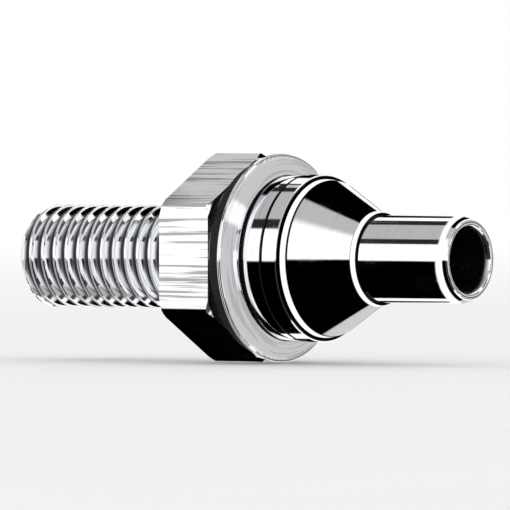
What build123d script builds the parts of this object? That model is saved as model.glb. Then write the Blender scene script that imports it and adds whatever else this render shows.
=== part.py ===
from build123d import *
import math
import os

os.makedirs("parts", exist_ok=True)

# A thru hull fitting: an M12 shank with nut, washer and gasket, a bevelled flange, and a spring-loaded
# non-return valve housed in the barrel behind a 10 mm hose spout.
# Frame: the origin is the centre of the flange's hull face. +X runs out along the spout, +Z is up.
# Turned shapes are written as (x, radius) profiles about the X axis. Lengths are in millimetres.

# ---- Driving dimensions ----
# Hull thread, M12 x 1.75
HULL_PITCH = 1.75
HULL_MAJOR_R = 6.0
SHANK_END_X = -34.1
SHANK_RELIEF_X = -1.2
SHANK_LEAD_IN = 0.9

# Nut, washer and gasket, stacked against the flange
GASKET_THICK = 1.8
GASKET_R = 11.2
GASKET_HOLE_R = 6.1
WASHER_THICK = 0.6
WASHER_R = 10.4
WASHER_HOLE_R = 6.4
NUT_THICK = 7.0
NUT_ACROSS_FLATS = 21.0
NUT_FACE_R = 11.5
NUT_CORNER_R = 0.5

# Flange, barrel, cone and spout
FLANGE_R = 12.0
FLANGE_RIM_THICK = 0.4
FLANGE_FOOT_X = 1.4
BASE_GROOVE_R = 9.15
BARREL_START_X = 1.9
BARREL_R = 9.6
JOINT_X = 4.4
BARREL_END_X = 6.6
CONE_GROOVE_R = 8.7
CONE_GROOVE_WIDTH = 0.25
BEAD_R = 9.15
BEAD_END = (7.5, 8.97)
CONE_START = (7.7, 8.9)
CONE_END = (14.0, 5.25)
COLLAR_R = 5.47
COLLAR_END_R = 5.29
SPOUT_START_X = 14.65
SPOUT_R = 5.0
NOSE_START_X = 25.0
NOSE_TIP = (27.0, 4.3)
MOUTH_X = 26.0

# Water way
SHANK_BORE_R = 3.5
GUIDE_BORE_R = 3.75
GUIDE_BORE_X = -6.6
SPOUT_BORE_R = 3.6
SPOUT_BORE_X = 13.6
CHAMBER_R = 5.9
CHAMBER_FLOOR_X = 2.2
SEAT_X = 2.4
SEAT_LIP_INNER_R = 3.95
SEAT_LIP_OUTER_R = 4.45

# Screwed joint of body and cap, M15 x 1, with its O-ring
CAP_PITCH = 1.0
CAP_MAJOR_R = 7.5
SPIGOT_END_X = 7.6
RING_GROOVE_R = 6.6
RING_GROOVE_END_X = 5.7
RING_BORE_R = 7.64
RING_WIRE_R = 0.46
CAP_LEAD_IN = 0.3

# Valve
SEAL_THICK = 0.9
DISC_THICK = 0.9
DISC_R = 4.9
SEAL_HUB_R = 1.9
STEM_R = 1.1
STUD_R = 0.9
GUIDE_THICK = 0.8
GUIDE_RING_R = 6.88
SPRING_MEAN_R = 2.9
SPRING_WIRE_R = 0.2
SPRING_TURNS = 4.2

# Clearances, broken edges, and how far shapes run into or past each other
RUNNING_GAP = 0.07
STUD_GAP = 0.03
THREAD_FLANK_GAP = 0.07
THREAD_CREST_GAP = 0.08
EDGE = 0.25
FINE_EDGE = 0.15
BORE_EDGE = 0.4
OVERLAP = 0.5
CUT_PAST = 1.0

# ---- Derived places ----
WASHER_FRONT_X = -GASKET_THICK
NUT_FRONT_X = WASHER_FRONT_X - WASHER_THICK
NUT_BACK_X = NUT_FRONT_X - NUT_THICK
DISC_BACK_X = SEAT_X + SEAL_THICK
DISC_FRONT_X = DISC_BACK_X + DISC_THICK
GUIDE_FRONT_X = SPIGOT_END_X + GUIDE_THICK
WING_GUIDE_BACK_X = SEAT_X - 6.0


# ---- Shape helpers ----
def turned(*profile):
    """Solid of revolution about X from its (x, radius) corners, repeated corners left out."""
    corners = [a for a, b in zip(profile, profile[1:] + profile[:1]) if a != b]
    return revolve(make_face(Polyline(*corners, close=True)), Axis.X, 360)


def ring(x0, x1, inner_r, outer_r, edge=0.0):
    """Flat ring from x0 to x1, its two outer edges broken by edge."""
    return turned(
        (x0, inner_r),
        (x0, outer_r - edge),
        (x0 + edge, outer_r),
        (x1 - edge, outer_r),
        (x1, outer_r - edge),
        (x1, inner_r),
    )


def plug(x0, x1, r):
    """Plain cylinder along X."""
    return turned((x0, 0), (x0, r), (x1, r), (x1, 0))


def hexagon(x0, x1, across_flats, corner_r):
    """Hexagonal bar along X with two corners on the Z axis, its corners rounded to corner_r."""
    outline = RegularPolygon(across_flats / 2, 6, major_radius=False, rotation=30)
    outline = fillet(outline.vertices(), corner_r)
    return extrude(Plane.YZ.offset(x0) * outline, x1 - x0)


def minor_r(major_r, pitch):
    """Root radius of a 60 degree male thread."""
    return major_r - 0.6134 * pitch


def tapping_drill_r(major_r, pitch):
    """Crest radius of a 60 degree female thread."""
    return major_r - 0.5413 * pitch


def threaded_rod(major_r, pitch, x0, x1, core_r, grow=0.0, reach=0.0):
    """Rod with a right-hand 60 degree thread wound about X, its first ridge centred at x0 and its last at x1.
    grow widens each flank and reach raises the crest, which turns the rod into a tap."""
    slope = math.tan(math.radians(30))
    root_r = core_r - 0.03
    crest_r = major_r + reach
    crest_half = pitch / 16 + grow - reach * slope
    root_half = crest_half + (crest_r - root_r) * slope
    path = Helix(pitch, x1 - x0, root_r)
    section_plane = Plane(origin=path @ 0, x_dir=(1, 0, 0), z_dir=(0, 1, 0))
    section = section_plane * make_face(
        Polyline(
            (0, -root_half),
            (crest_r - root_r, -crest_half),
            (crest_r - root_r, crest_half),
            (0, root_half),
            close=True,
        )
    )
    ridge = sweep(section, path, is_frenet=True)
    in_phase = Rot(0, 0, 360 * x0 / pitch)
    placed = Pos(x0, 0, 0) * Rot(0, 90, 0) * in_phase * ridge
    return plug(x0 - root_half, x1 + root_half, core_r) + placed


def male_thread(major_r, pitch, x0, x1, lead_in):
    """Threaded stretch from x0 to x1, its ends chamfered by lead_in."""
    rod = threaded_rod(major_r, pitch, x0 - pitch, x1 + pitch, minor_r(major_r, pitch))
    cone = lead_in + OVERLAP
    envelope = turned(
        (x0, 0),
        (x0, major_r - lead_in),
        (x0 + cone, major_r + OVERLAP),
        (x1 - cone, major_r + OVERLAP),
        (x1, major_r - lead_in),
        (x1, 0),
    )
    return rod & envelope


def tap(major_r, pitch, x0, x1, hole_r):
    """What drilling to hole_r and tapping from x0 to x1 removes."""
    return threaded_rod(major_r, pitch, x0, x1, hole_r, THREAD_FLANK_GAP, THREAD_CREST_GAP)


def spread_about_axis(shape, count, start=0.0):
    """Copies of shape turned evenly about X."""
    return [Rot(start + 360 / count * i, 0, 0) * shape for i in range(count)]


# ---- Sub-parts ----
def hull_body():
    """Shank, flange, first stretch of the barrel and the threaded spigot that carries the cap."""
    root = minor_r(HULL_MAJOR_R, HULL_PITCH)
    solid = turned(
        (SHANK_RELIEF_X - OVERLAP, 0),
        (SHANK_RELIEF_X - OVERLAP, root),
        (0, root),
        (0, FLANGE_R - FINE_EDGE),
        (FINE_EDGE, FLANGE_R),
        (FLANGE_RIM_THICK - FINE_EDGE, FLANGE_R),
        (FLANGE_RIM_THICK, FLANGE_R - FINE_EDGE),
        (FLANGE_FOOT_X, BARREL_R),
        (FLANGE_FOOT_X, BASE_GROOVE_R),
        (BARREL_START_X, BASE_GROOVE_R),
        (BARREL_START_X, BARREL_R - FINE_EDGE),
        (BARREL_START_X + FINE_EDGE, BARREL_R),
        (JOINT_X - EDGE, BARREL_R),
        (JOINT_X, BARREL_R - EDGE),
        (JOINT_X, RING_GROOVE_R),
        (RING_GROOVE_END_X + OVERLAP, RING_GROOVE_R),
        (RING_GROOVE_END_X + OVERLAP, 0),
    )
    solid += male_thread(HULL_MAJOR_R, HULL_PITCH, SHANK_END_X, SHANK_RELIEF_X, SHANK_LEAD_IN)
    solid += male_thread(CAP_MAJOR_R, CAP_PITCH, RING_GROOVE_END_X, SPIGOT_END_X, CAP_LEAD_IN)
    lip_height = SEAT_X - CHAMBER_FLOOR_X
    water_way = turned(
        (SHANK_END_X - CUT_PAST, 0),
        (SHANK_END_X - CUT_PAST, SHANK_BORE_R + BORE_EDGE),
        (SHANK_END_X, SHANK_BORE_R + BORE_EDGE),
        (SHANK_END_X + BORE_EDGE, SHANK_BORE_R),
        (GUIDE_BORE_X - BORE_EDGE, SHANK_BORE_R),
        (GUIDE_BORE_X, GUIDE_BORE_R),
        (SEAT_X - lip_height, GUIDE_BORE_R),
        (SEAT_X, SEAT_LIP_INNER_R),
        (SEAT_X, SEAT_LIP_OUTER_R),
        (CHAMBER_FLOOR_X, SEAT_LIP_OUTER_R + lip_height),
        (CHAMBER_FLOOR_X, CHAMBER_R),
        (SPIGOT_END_X + CUT_PAST, CHAMBER_R),
        (SPIGOT_END_X + CUT_PAST, 0),
    )
    return solid - water_way


def outlet_cap():
    """Second stretch of the barrel, bead, cone, collar and spout, turned in one."""
    groove_end_x = BARREL_END_X + CONE_GROOVE_WIDTH
    inner_cone_start = (GUIDE_FRONT_X, 6.2)
    inner_cone_end = (SPOUT_BORE_X, SPOUT_BORE_R)
    tapping_r = minor_r(CAP_MAJOR_R, CAP_PITCH) + THREAD_FLANK_GAP
    outline = Polyline(
        (RING_GROOVE_END_X, RING_BORE_R),
        (JOINT_X, RING_BORE_R),
        (JOINT_X, BARREL_R - EDGE),
        (JOINT_X + EDGE, BARREL_R),
        (BARREL_END_X - FINE_EDGE, BARREL_R),
        (BARREL_END_X, BARREL_R - FINE_EDGE),
        (BARREL_END_X, CONE_GROOVE_R),
        (groove_end_x, CONE_GROOVE_R),
        (groove_end_x, BEAD_R),
        BEAD_END,
        (BEAD_END[0], CONE_GROOVE_R),
        (CONE_START[0], CONE_GROOVE_R),
        CONE_START,
        CONE_END,
        (CONE_END[0], COLLAR_R),
        (SPOUT_START_X, COLLAR_END_R),
        (SPOUT_START_X, SPOUT_R),
        (NOSE_START_X, SPOUT_R),
    )
    tip_x, tip_r = NOSE_TIP
    outline += EllipticalCenterArc(
        (NOSE_START_X, tip_r), tip_x - NOSE_START_X, SPOUT_R - tip_r, start_angle=0, arc_size=90
    )
    outline += EllipticalCenterArc(
        (MOUTH_X, tip_r), tip_x - MOUTH_X, tip_r - SPOUT_BORE_R, start_angle=270, arc_size=90
    )
    outline += Polyline(
        (MOUTH_X, SPOUT_BORE_R),
        inner_cone_end,
        inner_cone_start,
        (GUIDE_FRONT_X, tapping_r),
        (RING_GROOVE_END_X, tapping_r),
        (RING_GROOVE_END_X, RING_BORE_R),
    )
    solid = revolve(make_face(outline), Axis.X, 360)
    return solid - tap(CAP_MAJOR_R, CAP_PITCH, RING_GROOVE_END_X - OVERLAP, SPIGOT_END_X + OVERLAP, tapping_r)


def hex_nut():
    """Nut with both ends chamfered and a tapped hole countersunk at each face."""
    corner_r = NUT_ACROSS_FLATS / math.sqrt(3)
    chamfer = (corner_r - NUT_FACE_R) * math.tan(math.radians(30))
    blank = hexagon(NUT_BACK_X, NUT_FRONT_X, NUT_ACROSS_FLATS, NUT_CORNER_R)
    blank &= turned(
        (NUT_BACK_X, 0),
        (NUT_BACK_X, NUT_FACE_R),
        (NUT_BACK_X + chamfer, corner_r),
        (NUT_FRONT_X - chamfer, corner_r),
        (NUT_FRONT_X, NUT_FACE_R),
        (NUT_FRONT_X, 0),
    )
    tapping_r = tapping_drill_r(HULL_MAJOR_R, HULL_PITCH) + THREAD_FLANK_GAP / 4
    sink_r = HULL_MAJOR_R + EDGE
    depth = sink_r - tapping_r
    cutter = tap(HULL_MAJOR_R, HULL_PITCH, NUT_BACK_X - HULL_PITCH, NUT_FRONT_X + HULL_PITCH, tapping_r)
    solid = blank - cutter
    for face_x, inward in ((NUT_BACK_X, depth), (NUT_FRONT_X, -depth)):
        solid -= turned(
            (face_x - inward, 0),
            (face_x - inward, sink_r + depth),
            (face_x + inward, tapping_r - depth),
            (face_x + inward, 0),
        )
    return solid


def flat_washer():
    """Thin washer that keeps the turning nut from dragging the gasket round."""
    return ring(NUT_FRONT_X, WASHER_FRONT_X, WASHER_HOLE_R, WASHER_R, 0.1)


def hull_gasket():
    """Rubber ring that seals the flange on the hull."""
    return ring(WASHER_FRONT_X, 0, GASKET_HOLE_R, GASKET_R, FINE_EDGE)


def cap_o_ring():
    """O-ring in the groove behind the spigot's thread."""
    mean_r = (RING_GROOVE_R + RING_BORE_R) / 2
    middle_x = (JOINT_X + RING_GROOVE_END_X) / 2
    return revolve(Pos(middle_x, mean_r, 0) * Circle(RING_WIRE_R), Axis.X, 360)


def valve_poppet():
    """Poppet disc with its spring boss, front stem, seal hub and rear stud."""
    boss_r = SPRING_MEAN_R - SPRING_WIRE_R - 0.2
    boss_taper = 0.3
    boss_end_x = DISC_FRONT_X + 0.5
    stem_end_x = SEAT_X + 8.0
    stem_edge = 0.3
    stud_end_x = WING_GUIDE_BACK_X - 1.8
    return turned(
        (stud_end_x, 0),
        (stud_end_x, STUD_R - FINE_EDGE),
        (stud_end_x + FINE_EDGE, STUD_R),
        (SEAT_X, STUD_R),
        (SEAT_X, SEAL_HUB_R),
        (DISC_BACK_X, SEAL_HUB_R),
        (DISC_BACK_X, DISC_R - FINE_EDGE),
        (DISC_BACK_X + FINE_EDGE, DISC_R),
        (DISC_FRONT_X - FINE_EDGE, DISC_R),
        (DISC_FRONT_X, DISC_R - FINE_EDGE),
        (DISC_FRONT_X, boss_r),
        (boss_end_x, boss_r - boss_taper),
        (boss_end_x, STEM_R),
        (stem_end_x - stem_edge, STEM_R),
        (stem_end_x, STEM_R - stem_edge),
        (stem_end_x, 0),
    )


def poppet_seal():
    """Flat rubber ring that closes on the seat's lip."""
    margin = 0.05
    return ring(SEAT_X, DISC_BACK_X, SEAL_HUB_R + margin, DISC_R - margin, 0.1)


def wing_guide():
    """Three wings that run in the guide bore, on a hub whose flange clamps the seal."""
    flange_r = 2.6
    flange_x = SEAT_X - 0.7
    back_x = WING_GUIDE_BACK_X
    hub_r = 1.6
    wing_r = GUIDE_BORE_R - RUNNING_GAP
    wing_thick = 0.8
    solid = plug(back_x, flange_x, hub_r) + plug(flange_x, SEAT_X, flange_r)
    length = flange_x - back_x
    wing = Pos(back_x + length / 2, 0, wing_r / 2) * Box(length, wing_thick, wing_r)
    for blade in spread_about_axis(wing, 3):
        solid += blade
    solid &= plug(back_x, SEAT_X, wing_r)
    return solid - plug(back_x - CUT_PAST, SEAT_X + CUT_PAST, STUD_R + STUD_GAP)


def stud_nut():
    """Small nut that holds the wing guide on the poppet's stud."""
    front_x = WING_GUIDE_BACK_X
    thick = 1.4
    across_flats = 3.6
    blank = hexagon(front_x - thick, front_x, across_flats, 0.1)
    blank &= ring(front_x - thick, front_x, 0, across_flats / math.sqrt(3), 0.2)
    return blank - plug(front_x - thick - CUT_PAST, front_x + CUT_PAST, STUD_R + STUD_GAP)


def return_spring():
    """Coil spring from the poppet disc to the spring guide, its ends ground flat."""
    length = SPIGOT_END_X - DISC_FRONT_X
    ground = SPRING_WIRE_R / 2
    path = Helix((length - 2 * ground) / SPRING_TURNS, length - 2 * ground, SPRING_MEAN_R)
    wire = Plane(origin=path @ 0, z_dir=path % 0) * Circle(SPRING_WIRE_R)
    coil = Pos(DISC_FRONT_X + ground, 0, 0) * Rot(0, 90, 0) * sweep(wire, path, is_frenet=True)
    return coil & ring(DISC_FRONT_X, SPIGOT_END_X, SPRING_MEAN_R - 1, SPRING_MEAN_R + 1)


def spring_guide():
    """Three-armed spider clamped between the spigot and the cap, with a hub for the stem."""
    hub_r = 2.1
    hub_end_x = GUIDE_FRONT_X + 1.4
    rim_inner_r = CHAMBER_R + 0.1
    arm_width = 1.5
    arm_length = rim_inner_r + 0.3
    solid = ring(SPIGOT_END_X, GUIDE_FRONT_X, rim_inner_r, GUIDE_RING_R)
    arm = Pos(SPIGOT_END_X + GUIDE_THICK / 2, 0, arm_length / 2)
    arm *= Box(GUIDE_THICK, arm_width, arm_length)
    for spoke in spread_about_axis(arm, 3, 60):
        solid += spoke
    solid += ring(SPIGOT_END_X, hub_end_x, 0.5, hub_r, FINE_EDGE)
    return solid - plug(SPIGOT_END_X - CUT_PAST, hub_end_x + CUT_PAST, STEM_R + RUNNING_GAP)


SUB_PARTS = [
    hull_body,
    outlet_cap,
    hex_nut,
    flat_washer,
    hull_gasket,
    cap_o_ring,
    valve_poppet,
    poppet_seal,
    wing_guide,
    stud_nut,
    return_spring,
    spring_guide,
]

for make in SUB_PARTS:
    shape = make()
    shape.label = make.__name__
    export_step(shape, f"parts/{make.__name__}.step")
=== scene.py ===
import math

import bmesh
import bpy
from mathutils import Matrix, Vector


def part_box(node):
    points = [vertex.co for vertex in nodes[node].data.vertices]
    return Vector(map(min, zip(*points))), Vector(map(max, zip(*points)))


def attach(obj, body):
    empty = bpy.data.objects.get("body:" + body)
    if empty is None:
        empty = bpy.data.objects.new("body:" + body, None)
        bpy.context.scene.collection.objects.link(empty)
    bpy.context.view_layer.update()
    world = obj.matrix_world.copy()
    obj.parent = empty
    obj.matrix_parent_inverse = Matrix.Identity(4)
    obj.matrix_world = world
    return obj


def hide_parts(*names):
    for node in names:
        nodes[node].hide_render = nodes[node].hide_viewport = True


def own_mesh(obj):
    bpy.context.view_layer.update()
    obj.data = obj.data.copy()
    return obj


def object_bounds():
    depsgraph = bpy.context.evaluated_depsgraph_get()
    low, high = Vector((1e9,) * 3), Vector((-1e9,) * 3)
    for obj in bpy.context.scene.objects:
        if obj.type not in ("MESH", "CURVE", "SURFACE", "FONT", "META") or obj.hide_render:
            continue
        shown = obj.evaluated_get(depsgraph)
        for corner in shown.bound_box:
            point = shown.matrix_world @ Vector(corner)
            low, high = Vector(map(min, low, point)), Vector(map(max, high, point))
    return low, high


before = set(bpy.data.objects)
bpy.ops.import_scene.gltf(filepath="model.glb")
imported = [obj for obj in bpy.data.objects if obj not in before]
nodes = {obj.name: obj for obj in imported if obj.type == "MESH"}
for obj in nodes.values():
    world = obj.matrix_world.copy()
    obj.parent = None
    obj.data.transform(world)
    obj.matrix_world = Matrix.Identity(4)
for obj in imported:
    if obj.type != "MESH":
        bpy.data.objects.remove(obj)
cad_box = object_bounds()

MM = 0.001

# ---- Camera: level, a little in front of square to the fitting's axis, far off with a long lens ----
CAMERA_AZIMUTH = 37.0
CAMERA_ELEVATION = 0.74
CAMERA_DISTANCE = 0.935
CAMERA_TARGET = Vector((-3.55, 0.0, 0.32)) * MM
CAMERA_LENS = 572.6
SENSOR_WIDTH = 36.0
CLIP_START = 0.05
CLIP_END = 100

# ---- Light tent and floor, in metres and degrees ----
TENT_RADIUS = 0.45
TENT_STEP = 0.75
TENT_WHITE = 1.22
FLOOR_GAP = 0.05 * MM
FLOOR_RADIUS = 40.0
FLOOR_SIDES = 96
FLOOR_FADE = (0.25, 1.2)
FLOOR_LIGHT = (0.90, 0.90, 0.90)
FLOOR_SHADE = (0.87, 0.87, 0.87)

# ---- Hull body, in millimetres: pitch, crest and root radius of each thread, and (x, radius) profiles ----
HULL_THREAD = (1.75, 6.0, 4.927)
SPIGOT_THREAD = (1.0, 7.5, 6.887)
SHANK_SPAN = (-34.1, -1.2)
SPIGOT_SPAN = (5.7, 7.6)
CAP_JOINT = 4.4
BODY_OUTSIDE = (
    (-1.2, 4.927), (0, 4.927), (0, 12), (0.4, 12), (1.4, 9.6), (1.4, 9.15), (1.9, 9.15), (1.9, 9.6),
    (CAP_JOINT, 9.6), (CAP_JOINT, 6.6), (5.7, 6.6), (5.7, 6.887),
)
BODY_INSIDE = (
    (7.6, 6.887), (7.6, 5.9), (2.2, 5.9), (2.2, 4.65), (2.4, 4.45), (2.4, 3.95), (2.2, 3.75), (-6.6, 3.75),
    (-7.0, 3.5), (-33.7, 3.5), (-34.1, 3.9), (-34.1, 4.927),
)
BROKEN_EDGE = 0.15
LONGEST_CUT = 0.4
EDGE_STEPS = 4
COLUMNS = 192
MERGE_WITHIN = 2e-7
SHARP_ANGLE = math.radians(35)

# ---- Thread form, as shares of the pitch, and the shares of the flank that carry a row of points ----
CREST_PHASE = 0.25
CREST_HALF_FLAT = 1 / 16
CREST_MIDDLE = 0.7
CREST_DROP_MIDDLE = 0.003
CREST_DROP_EDGE = 0.012
ROOT_RISE_EDGE = 0.016
ROOT_RISE_MIDDLE = 0.003
FLANK_ROWS = (0.06, 0.28, 0.5, 0.72, 0.9)
FLANK_ANGLE = math.radians(30)
SPARE_TURNS = 2

# ---- Return spring ----
SPRING_WIRE_R = 0.2 * MM
SPRING_MEAN_R = 2.9 * MM
SPRING_ACTIVE_TURNS = 2.8
SPRING_CLOSED_TURNS = 0.75
SPRING_CLOSED_PITCH = 0.25 * SPRING_WIRE_R
SPRING_STEPS_PER_TURN = 72
WIRE_SIDES = 16


def smooth(low, high, value):
    """0 below low, 1 above high, and a smooth step between them."""
    t = min(1.0, max(0.0, (value - low) / (high - low)))
    return t * t * (3 - 2 * t)


def within(low, high, edge, value):
    """1 from low to high, falling smoothly to 0 over edge on either side."""
    return smooth(low - edge, low, value) * (1 - smooth(high, high + edge, value))


def new_object(name, mesh):
    made = bpy.data.objects.new(name, mesh)
    bpy.context.scene.collection.objects.link(made)
    return made


def new_mesh_object(name, verts, faces):
    mesh = bpy.data.meshes.new(name)
    mesh.from_pydata(verts, [], faces)
    mesh.polygons.foreach_set("use_smooth", [True] * len(faces))
    mesh.update()
    return new_object(name, mesh)


# ---- Node helpers ----
class Look:
    """One procedural material: a Principled shader and short calls for the nodes that drive it."""

    def __init__(self, name, **uniform):
        self.material = bpy.data.materials.new(name)
        self.material.use_nodes = True
        self.tree = self.material.node_tree
        self.shader = self.tree.nodes["Principled BSDF"]
        for socket, value in uniform.items():
            self.shader.inputs[socket.replace("_", " ")].default_value = value
        coordinates = self.tree.nodes.new("ShaderNodeTexCoord")
        self.place = coordinates.outputs["Object"]
        self.facing = coordinates.outputs["Normal"]

    def link(self, output, socket):
        self.tree.links.new(output, socket)

    def drive(self, socket, output):
        self.link(output, self.shader.inputs[socket])

    def stretched(self, x, y, z):
        """Object coordinates scaled by x, y and z."""
        node = self.tree.nodes.new("ShaderNodeMapping")
        node.inputs["Scale"].default_value = (x, y, z)
        self.link(self.place, node.inputs["Vector"])
        return node.outputs["Vector"]

    def noise(self, scale, detail=4.0, roughness=0.55, vector=None):
        node = self.tree.nodes.new("ShaderNodeTexNoise")
        node.inputs["Scale"].default_value = scale
        node.inputs["Detail"].default_value = detail
        node.inputs["Roughness"].default_value = roughness
        self.link(vector or self.place, node.inputs["Vector"])
        return node.outputs["Fac"]

    def remap(self, value, from_low, from_high, to_low, to_high):
        node = self.tree.nodes.new("ShaderNodeMapRange")
        node.interpolation_type = "SMOOTHSTEP"
        node.inputs["From Min"].default_value = from_low
        node.inputs["From Max"].default_value = from_high
        node.inputs["To Min"].default_value = to_low
        node.inputs["To Max"].default_value = to_high
        self.link(value, node.inputs["Value"])
        return node.outputs["Result"]

    def patches(self, scale, detail, between, to):
        """Noise of that scale, taken from one pair of values to another."""
        return self.remap(self.noise(scale, detail=detail), *between, *to)

    def math(self, operation, a, b):
        node = self.tree.nodes.new("ShaderNodeMath")
        node.operation = operation
        for socket, value in zip(node.inputs, (a, b)):
            if isinstance(value, (int, float)):
                socket.default_value = value
            else:
                self.link(value, socket)
        return node.outputs["Value"]

    def length(self, vector):
        node = self.tree.nodes.new("ShaderNodeVectorMath")
        node.operation = "LENGTH"
        self.link(vector, node.inputs[0])
        return node.outputs["Value"]

    def radius(self):
        """Distance from the fitting's axis."""
        return self.length(self.stretched(0, 1, 1))

    def along_axis(self, vector):
        """The part of a vector along the fitting's axis."""
        split = self.tree.nodes.new("ShaderNodeSeparateXYZ")
        self.link(vector, split.inputs["Vector"])
        return split.outputs["X"]

    def beside(self, x, near, far):
        """1 within near of a plane square to the axis at x, and 0 beyond far."""
        offset = self.math("ABSOLUTE", self.math("SUBTRACT", self.along_axis(self.place), x), 0)
        return self.remap(offset, near, far, 1.0, 0.0)

    def end_facing(self):
        """1 on flat faces square to the axis, 0 elsewhere."""
        return self.remap(self.math("ABSOLUTE", self.along_axis(self.facing), 0), *END_FACING, 0.0, 1.0)

    def blend(self, share, first, second):
        """Colour going from first to second, each a fixed colour or another node's."""
        node = self.tree.nodes.new("ShaderNodeMix")
        node.data_type = "RGBA"
        self.link(share, node.inputs["Factor"])
        for socket, colour in (("A", first), ("B", second)):
            if isinstance(colour, tuple):
                node.inputs[socket].default_value = (*colour, 1)
            else:
                self.link(colour, node.inputs[socket])
        return node.outputs["Result"]

    def bump(self, height, distance, below=None):
        node = self.tree.nodes.new("ShaderNodeBump")
        node.inputs["Distance"].default_value = distance
        self.link(height, node.inputs["Height"])
        if below is not None:
            self.link(below, node.inputs["Normal"])
        return node.outputs["Normal"]


# ---- Materials: bump depths are in metres, radii and places along the axis in millimetres ----
# Patches are the noise's scale and detail, the values it is taken from, and those it is taken to
FILM_PATCHES = (170, 5, (0.42, 0.68), (0.03, 0.085))
SPOT_PATCHES = (1500, 2, (0.66, 0.74), (0.0, 0.08))
WEAR_PATCHES = (700, 4, (0.52, 0.66), (0.0, 0.35))
WAVE_SCALE = 380
END_FACING = (0.93, 0.98)
# Near-black colour for the dark machining lines and the cap's joint line, and for painted shade in thread
# roots, inside corners and bores
GRIME_AND_PAINTED_SHADE = (0.02, 0.02, 0.022)
# How far the thread roots are darkened with painted shade, and the roughness added there
ROOT_PAINTED_SHADE = 0.93
ROOT_SHADE_ROUGHNESS = 0.25
# Soft edge of the dark joint line and of the lines of painted shade in inside corners
JOINT_AND_SHADE_FADE = 0.07
BORE_RADII = (3.7, 3.95)
# How far the bores are darkened with painted shade
BORE_PAINTED_SHADE = 0.72
BORE_ROUGHNESS = 0.2
FACED_RINGS = 2400
BARE_BRASS = (0.74, 0.56, 0.30)
WEAR_WIDTH = 0.05
WAVINESS = 1.6e-6
BLOOM_GAIN = 2.2
RUBBER_GRAIN_DEPTH = 14e-6
CLEAN_BRASS = (0.80, 0.60, 0.28)
DULLED_BRASS = (0.52, 0.36, 0.16)
BRASS_LINE_DEPTH = 3e-6
ACETAL_LIGHT = (0.86, 0.85, 0.80)
ACETAL_SHADE = (0.78, 0.76, 0.70)
ACETAL_GRAIN_DEPTH = 7e-6
STEEL_LIGHT = (0.64, 0.64, 0.66)
STEEL_SHADE = (0.52, 0.52, 0.55)
STEEL_LINE_DEPTH = 2e-6


def chrome(name, colour, grain, grain_depth, grain_tone, worn, painted_shade_roots=None, joints_and_shaded_corners=()):
    """Polished chrome plate: machining lines, soft smears, water spots, and brass showing at worn edges.
    grain is the stretch and scale that lays the lines, grain_depth and grain_tone how deep and dark they are,
    worn the radius of the edges that wear, painted_shade_roots the radii between which the thread roots are
    darkened with painted shade, and joints_and_shaded_corners the places and half widths along the axis of
    joints, which hold a dark line, and of inside corners, which get a line of painted shade. Flat end faces
    have turning rings instead, and the bores are darkened with painted shade."""
    look = Look(name, Metallic=1.0)
    stretch, scale = grain
    radius = look.radius()
    at_end = look.end_facing()
    rings = look.math("MULTIPLY", look.noise(FACED_RINGS, detail=3, vector=radius), at_end)
    lines = look.noise(scale, detail=3, vector=look.stretched(*stretch))
    lines = look.math("ADD", rings, look.math("MULTIPLY", lines, look.math("SUBTRACT", 1, at_end)))

    film = look.patches(*FILM_PATCHES)
    spots = look.patches(*SPOT_PATCHES)
    rough = look.math("ADD", film, spots)
    rough = look.math("ADD", rough, look.remap(lines, 0.45, 0.75, 0.0, 0.04))
    low, high = BORE_RADII
    bore = look.remap(radius, low * MM, high * MM, 1.0, 0.0)
    rough = look.math("ADD", rough, look.math("MULTIPLY", bore, BORE_ROUGHNESS))
    # Painted shade: the bores darkened towards the near-black colour
    tone = look.math("MULTIPLY", bore, BORE_PAINTED_SHADE)
    tone = look.math("MAXIMUM", tone, look.remap(lines, 0.51, 0.6, 0.0, grain_tone))
    # Painted shade: the thread roots darkened towards the near-black colour, and made rougher
    if painted_shade_roots:
        low, high = painted_shade_roots
        in_roots = look.remap(radius, low * MM, high * MM, ROOT_PAINTED_SHADE, 0.0)
        root_painted_shade = look.math("MULTIPLY", in_roots, look.remap(bore, 0, 1, 1, 0))
        tone = look.math("MAXIMUM", tone, root_painted_shade)
        rough = look.math("ADD", rough, look.math("MULTIPLY", root_painted_shade, ROOT_SHADE_ROUGHNESS))
    # A dark line at the cap's joint, and lines of painted shade in inside corners
    for x, half_width in joints_and_shaded_corners:
        line = look.beside(x * MM, half_width * MM, (half_width + JOINT_AND_SHADE_FADE) * MM)
        tone = look.math("MAXIMUM", tone, line)
    look.drive("Roughness", rough)

    at_edge = look.remap(radius, worn * MM, (worn + WEAR_WIDTH) * MM, 0.0, 1.0)
    patchy = look.patches(*WEAR_PATCHES)
    plated = look.blend(look.math("MULTIPLY", at_edge, patchy), colour, BARE_BRASS)
    look.drive("Base Color", look.blend(tone, plated, GRIME_AND_PAINTED_SHADE))
    wavy = look.bump(look.noise(WAVE_SCALE, detail=2), WAVINESS)
    look.drive("Normal", look.bump(lines, grain_depth, wavy))
    return look.material


def rubber(name, tone, grain_scale):
    """Moulded black rubber with a fine grain and a patchy bloom."""
    look = Look(name, Specular_IOR_Level=0.2)
    bloom = look.noise(260, detail=5)
    bloomed = look.remap(bloom, 0.45, 0.7, 0, 1)
    look.drive("Base Color", look.blend(bloomed, (tone,) * 3, (tone * BLOOM_GAIN,) * 3))
    look.drive("Roughness", look.remap(bloom, 0.35, 0.7, 0.52, 0.8))
    look.drive("Normal", look.bump(look.noise(grain_scale, detail=3), RUBBER_GRAIN_DEPTH))
    return look.material


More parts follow.
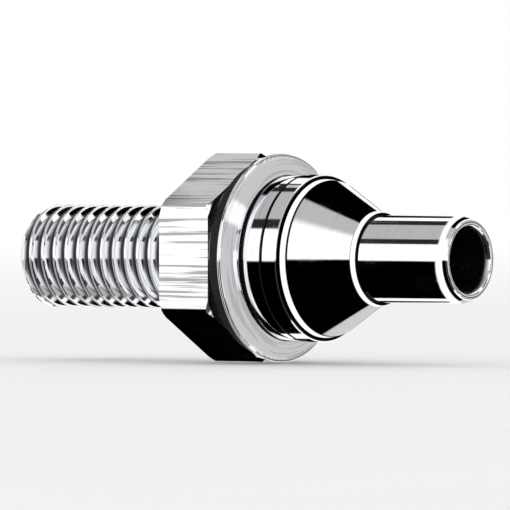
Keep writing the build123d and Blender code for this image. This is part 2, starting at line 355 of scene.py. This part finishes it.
def turned_brass(name):
    """Bright turned brass, dulled in patches."""
    look = Look(name, Metallic=1.0)
    tarnish = look.noise(420, detail=5)
    lines = look.noise(6500, detail=3, vector=look.stretched(1, 0.02, 0.02))
    look.drive("Base Color", look.blend(look.remap(tarnish, 0.42, 0.7, 0, 1), CLEAN_BRASS, DULLED_BRASS))
    look.drive("Roughness", look.remap(tarnish, 0.35, 0.7, 0.16, 0.36))
    look.drive("Normal", look.bump(lines, BRASS_LINE_DEPTH))
    return look.material


def acetal(name):
    """Off-white moulded acetal, slightly translucent, with a fine eroded texture."""
    look = Look(name, Subsurface_Weight=0.12, Subsurface_Scale=0.6 * MM)
    cloud = look.noise(300, detail=3)
    look.drive("Base Color", look.blend(cloud, ACETAL_LIGHT, ACETAL_SHADE))
    look.drive("Roughness", look.remap(cloud, 0.3, 0.7, 0.34, 0.5))
    look.drive("Normal", look.bump(look.noise(5000, detail=2), ACETAL_GRAIN_DEPTH))
    return look.material


def drawn_steel(name):
    """Drawn stainless wire and bar, with fine lines and a satin sheen."""
    look = Look(name, Metallic=1.0)
    lines = look.noise(7000, detail=3, vector=look.stretched(1, 0.15, 0.15))
    look.drive("Base Color", look.blend(look.noise(900), STEEL_LIGHT, STEEL_SHADE))
    look.drive("Roughness", look.remap(lines, 0.35, 0.7, 0.18, 0.38))
    look.drive("Normal", look.bump(lines, STEEL_LINE_DEPTH))
    return look.material


BRIGHT = (0.88, 0.89, 0.91)
DULL = (0.80, 0.81, 0.83)
TURNED = ((1, 0.02, 0.02), 5200)
DRAWN_ALONG = ((0.02, 1, 1), 2600)
TURNED_DEPTH = 0.6e-6
DRAWN_DEPTH = 4e-6
RUBBER_TONE = 0.009
# A dark joint line at the cap's joint, and lines of painted shade in the groove at the flange's foot and on
# both sides of bead and collar; the body holds the groove and the joint, the cap that joint and both sides of
# bead and collar
BODY_JOINTS_AND_SHADED_CORNERS = ((1.65, 0.22), (CAP_JOINT, 0.13))
CAP_JOINTS_AND_SHADED_CORNERS = ((CAP_JOINT, 0.13), (6.68, 0.09), (7.6, 0.08), (13.96, 0.05), (14.7, 0.05))
looks = {
    "hull_body": chrome(
        "body_chrome_look", BRIGHT, TURNED, TURNED_DEPTH, grain_tone=0.22, worn=11.9,
        # painted shade in the thread roots, between radii 5.05 and 5.6 mm
        painted_shade_roots=(5.05, 5.6), joints_and_shaded_corners=BODY_JOINTS_AND_SHADED_CORNERS,
    ),
    "outlet_cap": chrome(
        "cap_chrome_look", BRIGHT, TURNED, TURNED_DEPTH, grain_tone=0.05, worn=9.58, joints_and_shaded_corners=CAP_JOINTS_AND_SHADED_CORNERS
    ),
    "hex_nut": chrome("nut_chrome_look", BRIGHT, DRAWN_ALONG, DRAWN_DEPTH, grain_tone=0.6, worn=11.95),
    "flat_washer": chrome("washer_chrome_look", DULL, TURNED, TURNED_DEPTH, grain_tone=0.1, worn=10.3),
    "hull_gasket": rubber("gasket_rubber_look", RUBBER_TONE, 4200),
    "cap_o_ring": rubber("o_ring_rubber_look", RUBBER_TONE, 6500),
    "poppet_seal": rubber("poppet_seal_rubber_look", RUBBER_TONE, 6500),
    "valve_poppet": turned_brass("valve_brass_look"),
    "wing_guide": acetal("wing_guide_acetal_look"),
    "spring_guide": acetal("spring_guide_acetal_look"),
    "stud_nut": drawn_steel("stud_nut_steel_look"),
}
for node, material in looks.items():
    for slot in nodes[node].material_slots:
        slot.material = material


# ---- Hull body: rounded crests and roots and broken edges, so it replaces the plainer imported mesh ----
def eased(profile):
    """The profile with each corner rounded off."""
    corners = [Vector(point) for point in profile]
    points = [corners[0]]
    for before, corner, after in zip(corners, corners[1:], corners[2:]):
        shorter_side = min((before - corner).length, (after - corner).length)
        cut = min(BROKEN_EDGE, LONGEST_CUT * shorter_side)
        start = corner + (before - corner).normalized() * cut
        end = corner + (after - corner).normalized() * cut
        for k in range(EDGE_STEPS + 1):
            t = k / EDGE_STEPS
            points.append(start * (1 - t) ** 2 + corner * (2 * t * (1 - t)) + end * t ** 2)
    return points + [corners[-1]]


def turned_rows(profile):
    """One row of points round the axis for each point of the profile."""
    return [[(x, r)] * (COLUMNS + 1) for x, r in eased(profile)]


def thread_rows(thread, span):
    """Rows that follow a right-hand thread along the span and run out to its root at both ends."""
    pitch, crest, root = thread
    flat = pitch * CREST_HALF_FLAT
    flank = (crest - root) * math.tan(FLANK_ANGLE)
    valley = pitch / 2
    foot = flat + flank
    half = [
        (0, crest),
        (CREST_MIDDLE * flat, crest - CREST_DROP_MIDDLE * pitch),
        (flat, crest - CREST_DROP_EDGE * pitch),
    ]
    half += [(flat + share * flank, crest + share * (root - crest)) for share in FLANK_ROWS]
    half += [(foot, root + ROOT_RISE_EDGE * pitch), (0.5 * (foot + valley), root + ROOT_RISE_MIDDLE * pitch)]
    ridge = [(-offset, r) for offset, r in reversed(half[1:])] + half + [(valley, root)]
    first = math.floor(span[0] / pitch) - SPARE_TURNS
    last = math.ceil(span[1] / pitch) + SPARE_TURNS
    rows = []
    for turn in range(first, last):
        for offset, r in ridge:
            row = []
            for column in range(COLUMNS + 1):
                x = pitch * (turn + CREST_PHASE + column / COLUMNS) + offset
                x = min(span[1], max(span[0], x))
                row.append((x, min(r, root + min(x - span[0], span[1] - x))))
            rows.append(row)
    return rows


def hull_body():
    """The body as strips of rows, joined where their ends meet."""
    strips = (
        thread_rows(HULL_THREAD, SHANK_SPAN),
        turned_rows(BODY_OUTSIDE),
        thread_rows(SPIGOT_THREAD, SPIGOT_SPAN),
        turned_rows(BODY_INSIDE),
    )
    made = bmesh.new()
    for rows in strips:
        grid = []
        for row in rows:
            points = []
            for column, (x, r) in enumerate(row):
                around = 2 * math.pi * column / COLUMNS
                points.append(made.verts.new(Vector((x, r * math.cos(around), r * math.sin(around))) * MM))
            grid.append(points)
        for low, high in zip(grid, grid[1:]):
            for j in range(COLUMNS):
                made.faces.new((low[j], low[j + 1], high[j + 1], high[j]))
    bmesh.ops.remove_doubles(made, verts=made.verts, dist=MERGE_WITHIN)
    mesh = bpy.data.meshes.new("hull_body_turned")
    made.to_mesh(mesh)
    made.free()
    mesh.polygons.foreach_set("use_smooth", [True] * len(mesh.polygons))
    mesh.set_sharp_from_angle(angle=SHARP_ANGLE)
    body = new_object("hull_body_turned", mesh)
    mesh.materials.append(looks["hull_body"])
    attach(body, "fitting")
    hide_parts("hull_body")


hull_body()


# ---- Return spring: closed and ground ends, so it replaces the plain coil ----
def return_spring():
    """A coil of round wire whose end turns lie close and are ground flat."""
    low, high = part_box("return_spring")
    start, end = low.x + SPRING_WIRE_R, high.x - SPRING_WIRE_R
    turns = SPRING_ACTIVE_TURNS + 2 * SPRING_CLOSED_TURNS
    active_length = end - start - 2 * SPRING_CLOSED_TURNS * SPRING_CLOSED_PITCH
    steps = round(turns * SPRING_STEPS_PER_TURN)
    verts, faces = [], []
    for i in range(steps + 1):
        turn = turns * i / steps
        closed = min(turn, SPRING_CLOSED_TURNS) + max(0.0, turn - turns + SPRING_CLOSED_TURNS)
        active = turn - closed
        x = start + closed * SPRING_CLOSED_PITCH + active_length * active / SPRING_ACTIVE_TURNS
        roll = 2 * math.pi * turn
        for k in range(WIRE_SIDES):
            around = 2 * math.pi * k / WIRE_SIDES
            r = SPRING_MEAN_R + SPRING_WIRE_R * math.cos(around)
            wire_x = min(high.x, max(low.x, x + SPRING_WIRE_R * math.sin(around)))
            verts.append((wire_x, r * math.cos(roll), r * math.sin(roll)))
    for i in range(steps):
        for k in range(WIRE_SIDES):
            a, b = i * WIRE_SIDES + k, i * WIRE_SIDES + (k + 1) % WIRE_SIDES
            faces.append((a, b, b + WIRE_SIDES, a + WIRE_SIDES))
    faces.append(tuple(reversed(range(WIRE_SIDES))))
    faces.append(tuple(range(steps * WIRE_SIDES, (steps + 1) * WIRE_SIDES)))
    spring = new_mesh_object("return_spring_coil", verts, faces)
    spring.data.materials.append(drawn_steel("return_spring_steel_look"))
    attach(spring, "fitting")
    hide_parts("return_spring")
    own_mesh(spring)


return_spring()


# ---- Camera ----
def direction(azimuth, elevation):
    """The way out from the fitting; azimuth 0 is its front, -Y, and 90 is its spout end, +X."""
    a, e = math.radians(azimuth), math.radians(elevation)
    return Vector((math.sin(a) * math.cos(e), -math.cos(a) * math.cos(e), math.sin(e)))


toward_camera = direction(CAMERA_AZIMUTH, CAMERA_ELEVATION)
camera_data = bpy.data.cameras.new("camera")
camera_data.sensor_width = SENSOR_WIDTH
camera_data.lens = CAMERA_LENS
camera_data.clip_start = CLIP_START
camera_data.clip_end = CLIP_END
camera = bpy.data.objects.new("camera", camera_data)
camera.location = CAMERA_TARGET + toward_camera * CAMERA_DISTANCE
camera.rotation_mode = "QUATERNION"
camera.rotation_quaternion = (-toward_camera).to_track_quat("-Z", "Y")
bpy.context.scene.collection.objects.link(camera)
bpy.context.scene.camera = camera

# ---- Light tent: a white sphere round the fitting, seen only in reflections, with dark flags on it ----
# A flag is placed by the chrome that mirrors it to the camera: how far that surface leans out along the
# axis, and how far round the axis it faces, from level (0) to straight up (90). The last number is what
# is left of the tent's white behind the flag, and the two before it are the width of its soft edges. A
# later flag covers an earlier one. They are aimed for the camera's angle only.
FLAGS = (
    # leans from, to, rolls from, to, lean edge, roll edge, left
    # Spout, barrel and thread crests
    (-7, 7, -63, -2, 3, 1.5, 0.0),
    (-7, 7, -120, -74, 3, 1.5, 0.0),
    (-9, 9, 30, 54, 4, 3, 0.42),
    (-9, 9, 22, 28, 4, 1.5, 0.02),
    (-9, 9, 54, 63, 4, 1.5, 0.02),
    (-9, 9, 75, 120, 4, 1.5, 0.0),
    # Upper flat of the nut
    (-1.8, 1.8, 58.6, 61.4, 0.7, 0.7, 0.5),
    # Cone
    (23, 37, -92, -1, 3, 2, 0.0),
    (23, 37, -110, -78, 3, 3, 0.55),
    (23, 37, -180, -111, 3, 1, 0.0),
    (23, 37, 34, 52, 3, 8, 0.45),
    (23, 37, 52, 94, 3, 3, 0.0),
    (23, 37, 110, 180, 3, 1, 0.0),
    # Nose of the spout
    (39, 56, -46, -2, 2, 3, 0.03),
    (39, 56, 22, 50, 2, 5, 0.5),
    # Thread flanks and the nut's chamfer
    (54, 62.3, 65, 120, 0.6, 2, 0.0),
    (54, 62.3, 33, 51, 0.6, 2, 0.08),
    (54, 62.3, 18, 20.6, 0.6, 1, 0.05),
    (54, 62.3, 6.4, 17, 0.6, 1, 0.55),
    (54, 62.3, -31, -23, 0.6, 1, 0.05),
    (54, 62.3, -50, -34, 0.6, 2, 0.4),
    (54, 62.3, -57, -51, 0.6, 1, 0.05),
    (54, 62.3, -120, -65, 0.6, 2, 0.0),
    # Flange bevel, with a bright wedge left open
    (63.2, 75, -180, 20, 0.6, 4, 0.52),
    (63.2, 75, 38, 180, 0.6, 4, 0.52),
    # Flat end faces
    (79, 90, -180, 180, 4, 0.1, 0.04),
)


def tent_glow(toward):
    """Brightness of the tent in one direction."""
    facing = (toward + toward_camera).normalized()
    lean = math.degrees(math.asin(max(-1.0, min(1.0, facing.x))))
    roll = math.degrees(math.atan2(facing.z, -facing.y))
    glow = 1.0
    for lean_from, lean_to, roll_from, roll_to, lean_edge, roll_edge, left in FLAGS:
        inside = within(lean_from, lean_to, lean_edge, lean) * within(roll_from, roll_to, roll_edge, roll)
        glow += inside * (left - glow)
    return glow


def tent():
    """The sphere itself: each point glows as bright as tent_glow says, and only reflections see it."""
    rows, columns = round(180 / TENT_STEP), round(360 / TENT_STEP)
    verts, glow, faces = [], [], []
    for i in range(rows + 1):
        for j in range(columns):
            toward = direction(j * TENT_STEP, i * TENT_STEP - 90)
            verts.append(toward * TENT_RADIUS)
            glow.append(tent_glow(toward))
    for i in range(rows):
        for j in range(columns):
            a, b = i * columns + j, i * columns + (j + 1) % columns
            faces.append((a, b, b + columns, a + columns))
    shell = new_mesh_object("light_tent", verts, faces)
    shell.data.attributes.new("glow", "FLOAT", "POINT").data.foreach_set("value", glow)
    material = bpy.data.materials.new("light_tent_glow")
    material.use_nodes = True
    tree = material.node_tree
    tree.nodes.clear()
    attribute = tree.nodes.new("ShaderNodeAttribute")
    attribute.attribute_name = "glow"
    emission = tree.nodes.new("ShaderNodeEmission")
    strength = tree.nodes.new("ShaderNodeMath")
    strength.operation = "MULTIPLY"
    strength.inputs[1].default_value = TENT_WHITE
    tree.links.new(attribute.outputs["Fac"], strength.inputs[0])
    tree.links.new(strength.outputs["Value"], emission.inputs["Strength"])
    output = tree.nodes.new("ShaderNodeOutputMaterial")
    tree.links.new(emission.outputs["Emission"], output.inputs["Surface"])
    material.cycles.emission_sampling = "NONE"
    shell.data.materials.append(material)
    shell.visible_camera = False
    shell.visible_diffuse = False
    shell.visible_shadow = False
    shell.visible_transmission = False


tent()


# ---- Floor: pale and plain, fading into the white backdrop ----
def floor():
    low, _ = cad_box
    angles = [2 * math.pi * i / FLOOR_SIDES for i in range(FLOOR_SIDES)]
    verts = [(FLOOR_RADIUS * math.cos(a), FLOOR_RADIUS * math.sin(a), 0.0) for a in angles]
    made = new_mesh_object("floor", verts, [tuple(range(FLOOR_SIDES))])
    made.location.z = low.z - FLOOR_GAP
    look = Look("floor_look", Roughness=0.8, Specular_IOR_Level=0.1)
    look.drive("Base Color", look.blend(look.noise(9, detail=3), FLOOR_LIGHT, FLOOR_SHADE))
    fade = look.remap(look.length(look.place), *FLOOR_FADE, 0.0, 1.0)
    backdrop = look.tree.nodes.new("ShaderNodeEmission")
    mix = look.tree.nodes.new("ShaderNodeMixShader")
    look.link(fade, mix.inputs["Fac"])
    look.link(look.shader.outputs["BSDF"], mix.inputs[1])
    look.link(backdrop.outputs["Emission"], mix.inputs[2])
    output = look.tree.nodes["Material Output"]
    look.link(mix.outputs["Shader"], output.inputs["Surface"])
    look.material.cycles.emission_sampling = "NONE"
    made.data.materials.append(look.material)
    made.visible_glossy = False


floor()

# ---- Soft light for everything that isn't mirror-bright ----
world = bpy.data.worlds.new("studio")
world.use_nodes = True
background = world.node_tree.nodes["Background"]
background.inputs["Color"].default_value = (1, 1, 1, 1)
background.inputs["Strength"].default_value = 1.0
bpy.context.scene.world = world
bpy.context.scene.view_settings.view_transform = "Standard"
